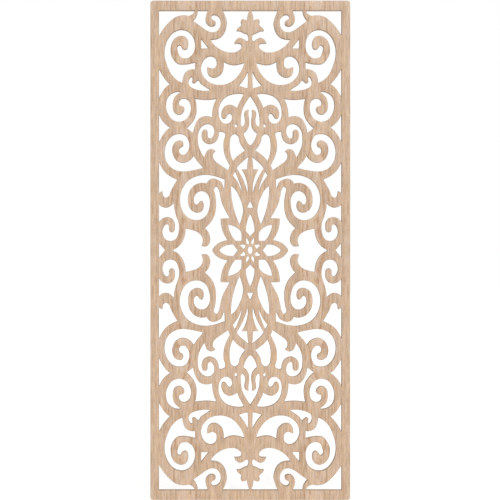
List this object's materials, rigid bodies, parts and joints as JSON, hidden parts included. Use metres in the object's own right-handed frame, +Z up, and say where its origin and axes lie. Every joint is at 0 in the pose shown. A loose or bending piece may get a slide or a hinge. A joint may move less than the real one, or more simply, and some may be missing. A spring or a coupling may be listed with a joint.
{
  "type": "fretwork wall panel",
  "caption": "Tall flat wall panel cut through with mirrored scrolls, leaves and a central rosette, in a plain border, faced with matched oak veneer.",
  "frame": {"origin": "centre of the flat back face, midway between the side edges and between the top and bottom edges", "axes": "+Z up along the panel's height, +Y out of the back face towards the wall, so the matched face looks along -Y, and +X to the right of someone who looks at that face"},
  "size_m": [0.6, 0.0072, 1.5],
  "materials": {
    "core": "machined fibreboard edge, sealed",
    "face_veneer": "pale oak veneer, matt lacquer",
    "back_veneer": "pale oak veneer, sanded, unlacquered"
  },
  "bodies": {
    "root": {"core_board": "core", "face_leaf_top_left": "face_veneer", "face_leaf_top_right": "face_veneer", "face_leaf_bottom_left": "face_veneer", "face_leaf_bottom_right": "face_veneer", "back_leaf_left": "back_veneer", "back_leaf_right": "back_veneer"}
  },
  "joints": []
}
